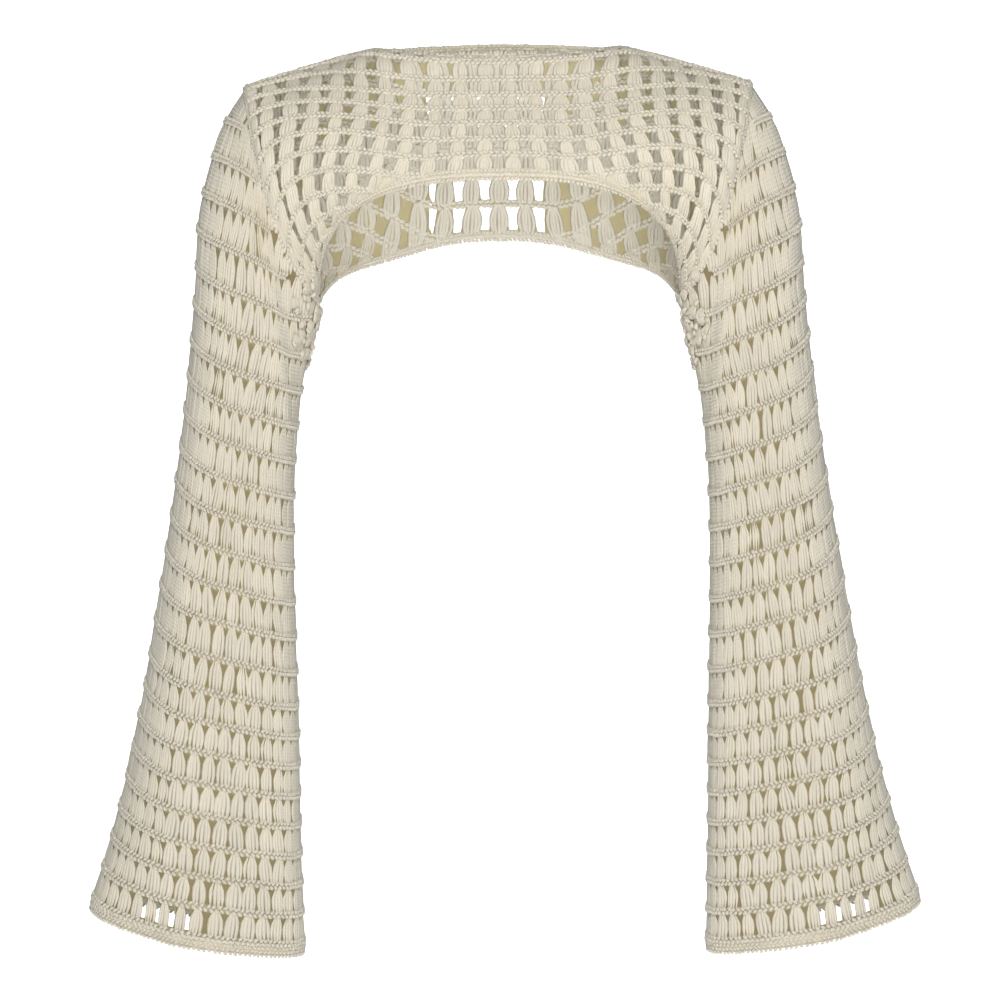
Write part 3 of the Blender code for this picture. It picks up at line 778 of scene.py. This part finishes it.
# Puffs: length, spread, widths, radii, bulge. Looped bars and bands: pitch, count, rise, length,
# radius, slant, lift.
YOKE_PUFFS = kinds(puff_shape, YOKE_PUFF_HEIGHT, 2.35, (0.75, 1.0, 1.0, 0.8, 0.4),
                   (1.2, 1.5, 1.6, 1.4, 1.0), 0.4, strands=5)
FRONT_BARS = kinds(loop_shapes, YOKE_BAR_LENGTH, 5, 2.3, 4.3, 1.3, 0.6, 0.5)
BACK_BARS = kinds(loop_shapes, YOKE_BAR_LENGTH, 5, 3.0, 4.6, 1.6, 0.6, -0.1)
SLEEVE_PUFFS_MIXED = kinds(puff_shape, SLEEVE_PUFF_HEIGHT, 2.3, (0.95, 1.03, 0.95, 0.5),
                           (1.2, 1.5, 1.5, 1.0), 0.5)
SLEEVE_BANDS = kinds(loop_shapes, SLEEVE_BAND_LENGTH, 3, 2.7, 3.9, 1.15, 0.95, 0.8)
EDGE_LOOPS = kinds(loop_shapes, 9.0, 3, 2.5, 4.0, 1.2, 0.7, 0.6)
HEM_LOOPS = kinds(loop_shapes, 9.0, 3, 2.9, 4.2, 1.35, 0.9, 0.3)
CUFF_LOOPS = kinds(loop_shapes, 10.0, 3, 2.7, 3.9, 1.05, 0.9, 0.6)
SEAM_LOOPS = kinds(loop_shapes, SEAM_LOOP_LENGTH, 4, 2.4, 3.9, 1.2, 0.9, 0.9)
KNOB = knob_shape(5.0, 1.7)
BUNCHED_PUFF = puff_shape(3, 9.0, 1.9, (0.5, 1.0, 0.9, 0.5), (0.9, 1.3, 1.3, 0.8), 1.2)

# The yokes' nets: how far a gap stays from the row lines and the smallest gap, in millimetres, and
# in shares of a repeat how much wider the strips are under the arms, and their greatest half width
NET_TOP = 1.6
NET_FOOT = 1.6
LEAST_GAP = 4.0
NET_BUNCHED = 0.14
NET_WIDEST = 0.45
PUFF_BUNCHED = 0.3
PUFF_MIDDLE = 0.49
YOKE_PUFF_SHARE = 0.9
END_PUFF_INSET = 0.2
LOWEST_BAR = 0.15
SLOPE_STEP = 0.3


def yoke_net(bag, cloth, panel):
    """The thin sheet of a yoke panel: narrow strips behind the bars and the puffs."""
    repeats = cloth.repeats
    lines = [(0.0, 0)]
    for repeat in range(repeats):
        lines += [(repeat, 1), (repeat + 1, -1)]
    lines += [(float(repeats), 0)]
    middles = np.array([line for line, _ in lines], float)

    signs = np.array([sign for _, sign in lines])
    closing = yoke_closing(panel, middles)
    widths = [lerp(middle, side, closing)
              for middle, side in zip(panel["net_middle"], panel["net_side"])]
    u, v, gaps = [middles + signs * widths[0]], [np.full(len(lines), float(ROWS))], []
    for row in range(panel["side_rows"]):
        high, low = (np.maximum(yoke_line(panel, middles, line), 0.0) for line in (row, row + 1))
        _, v_scale = cloth.scales(middles, (high + low) / 2)
        margin = np.minimum(NET_TOP / v_scale, (high - low) / 3)
        foot = np.minimum(NET_FOOT / v_scale, (high - low) / 3)
        tall = (high - low) * v_scale > LEAST_GAP + NET_TOP + NET_FOOT
        bunching = NET_BUNCHED * yoke_bunching(panel, middles, low)
        for width, height in zip(widths, (high - margin, (high + low) / 2, low + foot)):
            u.append(middles + signs * np.minimum(width + bunching, NET_WIDEST))
            v.append(height)
            cells = np.zeros(len(lines) - 1, bool)
            # Cells left closed stay net; on the back this net is a sheet of painted shade where the
            # holes would show shade
            if len(u) % 3 != 1 and row >= panel["closed_rows"]:
                cells[1::2] = (tall & (closing <= panel["open_to"]))[1:-1:2] & tall[2::2]
            gaps.append(cells)
    u.append(middles + signs * widths[0])
    v.append(np.zeros(len(lines)))
    gaps = np.vstack([np.zeros_like(gaps[0]), *gaps])
    lay_net(bag, cloth, np.array(u), np.array(v), gaps, outside=panel["net_shade"])


def yoke_stitches(puffs, bars, cloth, panel, bar_shapes, seed):
    """The puffs of a yoke panel, row by row, and the bars between them."""
    rng = np.random.default_rng(seed)
    repeats = panel["repeats"]
    # Painted light on the inner side of the back's stitches; the front's stitches get no painted
    # shade
    shade = 1.0 if panel["side"] > 0 else 0.0
    for row in range(panel["side_rows"]):
        u = np.array([END_PUFF_INSET, *range(1, repeats), repeats - END_PUFF_INSET])
        low, high, there = yoke_span(panel, u, row)
        u, low, high = u[there], low[there], high[there]
        v = lerp(low, high, PUFF_MIDDLE)
        u_scale, v_scale = cloth.scales(u, v)
        aside = 2 * u / repeats - 1
        lay_mixed(puffs, YOKE_PUFFS, cloth, u, v, rng,
                  wide=u_scale / panel["puff_pitch"]
                  * (1 + PUFF_BUNCHED * yoke_bunching(panel, u, v)),
                  tall=v_scale * (high - low) * YOKE_PUFF_SHARE / YOKE_PUFF_HEIGHT,
                  lean=-panel["lean"] * aside * (1 - v / ROWS) ** 2, lift=panel["puff_lift"],
                  shade=shade)
        u = np.arange(repeats) + 0.5
        line = yoke_line(panel, u, row)
        kept = line > LOWEST_BAR
        u, line = u[kept], line[kept]
        u_scale, v_scale = cloth.scales(u, line)
        ahead = yoke_line(panel, u + SLOPE_STEP, row)
        rise = (ahead - yoke_line(panel, u - SLOPE_STEP, row)) / (2 * SLOPE_STEP)
        rise = rise * v_scale / u_scale
        lay_mixed(bars, bar_shapes, cloth, u, line, rng,
                  wide=u_scale * np.hypot(1.0, rise) / YOKE_BAR_LENGTH,
                  turn=np.arctan(rise)[:, None], loose=BAR_LOOSENESS, shade=shade)


CORE_SHARE = 0.85
CORE_SHADE = 0.45
CORE_THICKNESS = 0.9


def edge_band(bag, cloth, u_start, u_end, v_edge, direction, height, shapes, lines, rng,
              least_scale=0.0):
    """A dense band past an edge of the cloth: a core and lines of loops on both its faces."""
    u = np.linspace(u_start, u_end, int(abs(u_end - u_start) * 4) + 1)
    _, v_scale = cloth.scales(u, np.full_like(u, v_edge))
    v_scale = np.maximum(v_scale, least_scale)
    steps = np.array([0.0, 0.5, 1.0])[:, None]
    v = v_edge + direction * height * CORE_SHARE * steps / v_scale
    lay_net(bag, cloth, np.broadcast_to(u, v.shape), v, np.zeros((2, len(u) - 1), bool),
            CORE_THICKNESS, outside=CORE_SHADE, inside=CORE_SHADE)
    for line in range(lines):
        away = height * (line + 0.5) / lines
        pitch = shapes[0].pitch
        middle = (u_start + u_end) / 2
        u_scale, _ = cloth.scales(np.array([middle]), np.array([v_edge]))
        count = max(1, round(float(abs(u_end - u_start) * u_scale[0]) / pitch))
        places = u_start + (np.arange(count) + 0.5) * (u_end - u_start) / count
        u_scale, v_scale = cloth.scales(places, np.full(count, v_edge))
        v_scale = np.maximum(v_scale, least_scale)
        lay_mixed(bag, shapes, cloth, places, v_edge + direction * away / v_scale, rng,
                  wide=u_scale * abs(u_end - u_start) / count / pitch, loose=EDGE_LOOSENESS)


sheets = []


def dress(piece, *nodes, slot="cotton_yarn"):
    """Puts a piece on the garment's one body and hides the solids it replaces; slot is not used."""
    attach(piece, "root")
    if nodes:
        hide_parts(*nodes)
    return piece


YOKES = (("front", FRONT, 11, YOKE_YARN, FRONT_BARS), ("back", BACK, 12, BACK_PAINTED_LIGHT_YARN, BACK_BARS))
NECK_EDGING_HEIGHT = 5.0
HEM_EDGING_HEIGHT = 6.0
HEM_INSET = 0.35
CUFF_EDGING_HEIGHT = 10.5
NECK_BAND_HEIGHT = 12.0
NECK_ROW_HEIGHT = 9.5
neck = Bag()
for name, panel, seed, yarn, bar_shapes in YOKES:
    cloth = panel_cloth(panel)
    neck_start = NECK_SHARE * cloth.repeats
    neck_end = cloth.repeats - neck_start
    yoke, bars, hem = Bag(), Bag(), Bag()
    puffs = Bag() if name == "back" else yoke
    yoke_net(yoke, cloth, panel)
    yoke_stitches(puffs, bars, cloth, panel, bar_shapes, seed)
    rng = np.random.default_rng(seed + 20)
    edge_band(neck, cloth, neck_start, neck_end, float(ROWS), 1, NECK_EDGING_HEIGHT, EDGE_LOOPS, 1,
              rng)
    edge_band(hem, cloth, HEM_INSET, cloth.repeats - HEM_INSET, 0.0, -1, HEM_EDGING_HEIGHT,
              HEM_LOOPS, 2, rng)
    if name == "back":
        edge_band(bars, cloth, neck_start, neck_end, float(ROWS), -1, NECK_BAND_HEIGHT, EDGE_LOOPS,
                  2, rng, NECK_ROW_HEIGHT)
    shown = [dress(bars.make(name + "_yoke_bars", yarn)),
             dress(hem.make(name + "_hem_stitches", yarn), name + "_hem_edging",
                   slot="edging_yarn")]
    if name == "back":
        shown.append(dress(puffs.make(name + "_yoke_puffs", yarn)))
    # The yokes' nets carry painted shade: the back's has its own dark olive yarn, the front's takes
    # the yoke yarn's painted shade
    net_yarn = BACK_NET_YARN if name == "back" else yarn
    sheets.append((dress(yoke.make(name + "_yoke", net_yarn), name + "_panel"), shown))
sheets[0][1].append(dress(neck.make("neck_stitches", YOKE_YARN), "neck_edging", slot="edging_yarn"))

# ------------------------------------------------------------------ the sleeves

# The sleeves' nets: half widths of a slit at its foot, middle and top, in shares of a puff's width,
# the heights of these three in a row, and the puffs between which the cuff's slits are open
SLIT_SIDE = (0.05, 0.09, 0.16)
OPEN_CUFF_PUFFS = (9, 13)
OPEN_CUFF_SIDE = (0.17, 0.2, 0.23)
OPEN_CUFF_WIDTH = 0.74
SLIT_HEIGHTS = (0.16, 0.5, 0.82)
SLEEVE_PUFF_SHARE = 0.82
PUFF_SPREADING = 0.85
UNDERARM_WIDTH = 3.2
UNDERARM_ROWS = (-0.1, 1.9)
UNDERARM_TURN = 0.9
UNDERARM_LIFT = (0.8, 3.0)
UNDERARM_KNOBS = 60
UNDERARM_PUFFS = 34
# How much less painted shade the sleeve net has along its row lines
NET_LIGHT = 0.8


def sleeve_net(bag, cloth):
    """The thin sheet of a sleeve, closed but for a few gaps in the lowest row of the cuff. The
    sheet is painted shade: dark olive in the slits between the puffs, where the shaded inside of
    the sleeve would show, and less shaded along the row lines.
    """
    shares = [0.0, *SLIT_HEIGHTS]
    rows = np.array([row + share for row in range(SLEEVE_ROWS) for share in shares])
    lines = [(puff + 0.5, sign) for puff in range(SLEEVE_PUFFS) for sign in (-1, 1)]
    lines.append((SLEEVE_PUFFS + 0.5, -1))
    u = np.zeros((len(rows), len(lines)))
    v = np.zeros_like(u)
    middles = np.array([line for line, _ in lines])
    tops = sleeve_top(cloth, middles)
    last = np.ceil(tops - LAST_ROW_SHARE) - 1
    first, after = OPEN_CUFF_PUFFS
    for place, row in enumerate(rows):
        share = row % 1
        nearest = int(np.argmin([abs(share - height) for height in SLIT_HEIGHTS]))
        u[place] = [line + sign * (OPEN_CUFF_SIDE if row < 1 and first < line < after else
                                   SLIT_SIDE)[nearest] for line, sign in lines]
        base = math.floor(row + 1e-9)
        high = np.where(base == last, tops, base + 1)
        v[place] = np.where(base > last, tops, base + share * (high - base))
    gaps = np.zeros((len(rows) - 1, len(lines) - 1), bool)
    for place, row in enumerate(rows[:-1]):
        if row < 1 and min(abs(row - height) for height in SLIT_HEIGHTS[:2]) < 1e-6:
            gaps[place, 2 * first:2 * after:2] = True
    light = np.zeros_like(u)
    light[rows % 1 == 0] = NET_LIGHT
    lay_net(bag, cloth, u, v, gaps, outside=1.0, inside=0.6, light=light)


def sleeve_stitches(cloth, seed):
    """The puffs and the dense bands of a sleeve, row by row, up to the armhole."""
    rng = np.random.default_rng(seed)
    puffs, bands = Bag(), Bag()
    puff_u = np.arange(SLEEVE_PUFFS).astype(float)
    band_u = puff_u + 0.5
    for row in range(SLEEVE_ROWS):
        for u, band in ((puff_u, False), (band_u, True)):
            tops = sleeve_top(cloth, u)
            last = np.ceil(tops - LAST_ROW_SHARE) - 1
            kept = last >= row
            if not kept.any():
                continue
            u, tops, last = u[kept], tops[kept], last[kept]
            if band:
                v = np.full(len(u), float(row))
                u_scale, _ = cloth.scales(u, v)
                lay_mixed(bands, SLEEVE_BANDS, cloth, u, v, rng, wide=u_scale / SLEEVE_BAND_LENGTH,
                          loose=BAND_LOOSENESS)
                continue
            high = np.where(last == row, tops, row + 1)
            v = row + (high - row) * PUFF_MIDDLE
            u_scale, v_scale = cloth.scales(u, v)
            beside_gap = (row == 0) & (u >= OPEN_CUFF_PUFFS[0]) & (u <= OPEN_CUFF_PUFFS[1])
            lay_mixed(puffs, SLEEVE_PUFFS_MIXED, cloth, u, v, rng,
                      wide=(u_scale / SLEEVE_PUFF_PITCH) ** PUFF_SPREADING
                      * np.where(beside_gap, OPEN_CUFF_WIDTH, 1.0),
                      tall=v_scale * (high - row) * SLEEVE_PUFF_SHARE / SLEEVE_PUFF_HEIGHT)
    return puffs, bands


def armhole_stitches(cloth, seed):
    """The joining stitches round the armhole, and the bunched ones under the arm."""
    rng = np.random.default_rng(seed)
    seam = Bag()
    count = SLEEVE_PUFFS + 4
    u = np.arange(count) * SLEEVE_PUFFS / count
    v = sleeve_top(cloth, u)
    u_scale, v_scale = cloth.scales(u, v)
    ahead = sleeve_top(cloth, u + SLOPE_STEP)
    behind = sleeve_top(cloth, u - SLOPE_STEP)
    rise = (ahead - behind) * v_scale / (2 * SLOPE_STEP * u_scale)
    length = np.hypot(1.0, rise)
    lay_mixed(seam, SEAM_LOOPS, cloth, u, v, rng,
              wide=u_scale * SLEEVE_PUFFS / count / SEAM_LOOP_LENGTH * length,
              turn=np.arctan(rise)[:, None], loose=BAR_LOOSENESS)
    for shape, bunch in ((KNOB, UNDERARM_KNOBS), (BUNCHED_PUFF, UNDERARM_PUFFS)):
        u = rng.uniform(-UNDERARM_WIDTH, UNDERARM_WIDTH, bunch)
        v = sleeve_top(cloth, u) - rng.uniform(*UNDERARM_ROWS, bunch)
        lay(seam, shape, cloth, u, v, rng,
            turn=rng.uniform(-UNDERARM_TURN, UNDERARM_TURN, bunch)[:, None],
            lift=rng.uniform(*UNDERARM_LIFT, bunch))
    return seam


for name, mirror, seed in (("left", False, 31), ("right", True, 32)):
    cloth = sleeve_cloth(mirror)
    net = Bag()
    sleeve_net(net, cloth)
    puffs, bands = sleeve_stitches(cloth, seed)
    rng = np.random.default_rng(seed + 20)
    cuff = Bag()
    edge_band(cuff, cloth, 0.0, float(SLEEVE_PUFFS), 0.0, -1, CUFF_EDGING_HEIGHT, CUFF_LOOPS, 2,
              rng)
    shown = [dress(puffs.make(name + "_sleeve_puffs", PUFF_YARN)),
             dress(bands.make(name + "_sleeve_bands", LOOP_YARN)),
             dress(armhole_stitches(cloth, seed + 40).make(name + "_armhole_stitches", LOOP_YARN)),
             dress(cuff.make(name + "_cuff_stitches", LOOP_YARN), name + "_cuff_edging",
                   slot="edging_yarn")]
    sheets.append((dress(net.make(name + "_sleeve_net", PAINTED_SHADE_NET_YARN), name + "_sleeve_upper",
                         name + "_sleeve_lower"), shown))

# ------------------------------------------------------------------ room, light and camera

BACKDROP_SIZE_M = 12.0
FLOOR_Z_M = -1.45
BACKDROP_Y_M = 4.4
CAMERA_PLACE_M = (-0.0011, -3.0, -0.2)
CAMERA_AIM_M = (-0.0011, 0.0, -0.3285)
CAMERA_ROLL_DEGREES = -0.5
SENSOR_WIDTH_MM = 36.0
LENS_MM = 148.1
AMBIENT_COLOUR = (0.76, 0.88, 1.0, 1.0)
AMBIENT_STRENGTH = 0.21
# Softboxes: name, place, aim, size in metres, power in watts, colour
SOFTBOXES = (
    ("front_softbox", (-0.2, -3.3, 1.3), (0, 0, -0.3), 1.4, 63.0, (1.0, 0.965, 0.90)),
    ("fill_softbox", (0.3, -3.1, -0.5), (0, 0, -0.4), 1.2, 36.0, (1.0, 0.97, 0.92)),
    ("backdrop_light", (0.0, 2.3, 1.9), (0, 4.4, -0.7), 2.2, 160.0, (1.0, 1.0, 1.0)),
)


def add_backdrop():
    """A pale floor that sweeps up into a plain wall behind."""
    mesh_edit = bmesh.new()
    bmesh.ops.create_grid(mesh_edit, x_segments=1, y_segments=1, size=BACKDROP_SIZE_M / 2)
    back = [edge for edge in mesh_edit.edges
            if all(vertex.co.y > 0 for vertex in edge.verts)]
    made = bmesh.ops.extrude_edge_only(mesh_edit, edges=back)
    for item in made["geom"]:
        if isinstance(item, bmesh.types.BMVert):
            item.co.z += BACKDROP_SIZE_M / 2
    corner = [edge for edge in mesh_edit.edges
              if all(vertex.co.y > 0 and abs(vertex.co.z) < 1e-6 for vertex in edge.verts)]
    bmesh.ops.bevel(mesh_edit, geom=corner, offset=1.0, offset_type="OFFSET", affect="EDGES",
                    segments=12, profile=0.5, material=-1)
    bmesh.ops.translate(mesh_edit, verts=mesh_edit.verts[:],
                        vec=(0, BACKDROP_Y_M - BACKDROP_SIZE_M / 2, FLOOR_Z_M))
    mesh = bpy.data.meshes.new("backdrop")
    mesh_edit.to_mesh(mesh)
    mesh_edit.free()
    mesh.shade_smooth()
    mesh.materials.append(plain_material("backdrop_paper", (0.93, 0.93, 0.92, 1.0), 0.9))
    backdrop = bpy.data.objects.new("backdrop", mesh)
    bpy.context.scene.collection.objects.link(backdrop)


def add_softbox(name, place, aim, size, power, colour):
    data = bpy.data.lights.new(name, "AREA")
    data.shape = "SQUARE"
    data.size = size
    data.energy = power
    data.color = colour
    lamp = bpy.data.objects.new(name, data)
    way = Vector(aim) - Vector(place)
    turned = way.to_track_quat("-Z", "Y").to_matrix()
    lamp.matrix_world = Matrix.Translation(place) @ turned.to_4x4()
    bpy.context.scene.collection.objects.link(lamp)


def add_camera():
    """The photo's angle: from the front, a little from above, and turned by half a degree."""
    place = Vector(CAMERA_PLACE_M)
    aim = Vector(CAMERA_AIM_M)
    data = bpy.data.cameras.new("camera")
    data.sensor_width = SENSOR_WIDTH_MM
    data.lens = LENS_MM
    data.clip_end = 30.0
    camera = bpy.data.objects.new("camera", data)
    turned = (aim - place).to_track_quat("-Z", "Y").to_matrix()
    turned = turned @ Matrix.Rotation(math.radians(CAMERA_ROLL_DEGREES), 3, "Z")
    camera.matrix_world = Matrix.Translation(place) @ turned.to_4x4()
    bpy.context.scene.collection.objects.link(camera)
    bpy.context.scene.camera = camera


world = bpy.data.worlds.new("studio")
world.use_nodes = True
background = world.node_tree.nodes["Background"]
background.inputs["Color"].default_value = AMBIENT_COLOUR
background.inputs["Strength"].default_value = AMBIENT_STRENGTH
bpy.context.scene.world = world
bpy.context.scene.view_settings.view_transform = "Standard"
add_backdrop()
for softbox in SOFTBOXES:
    add_softbox(*softbox)
add_camera()
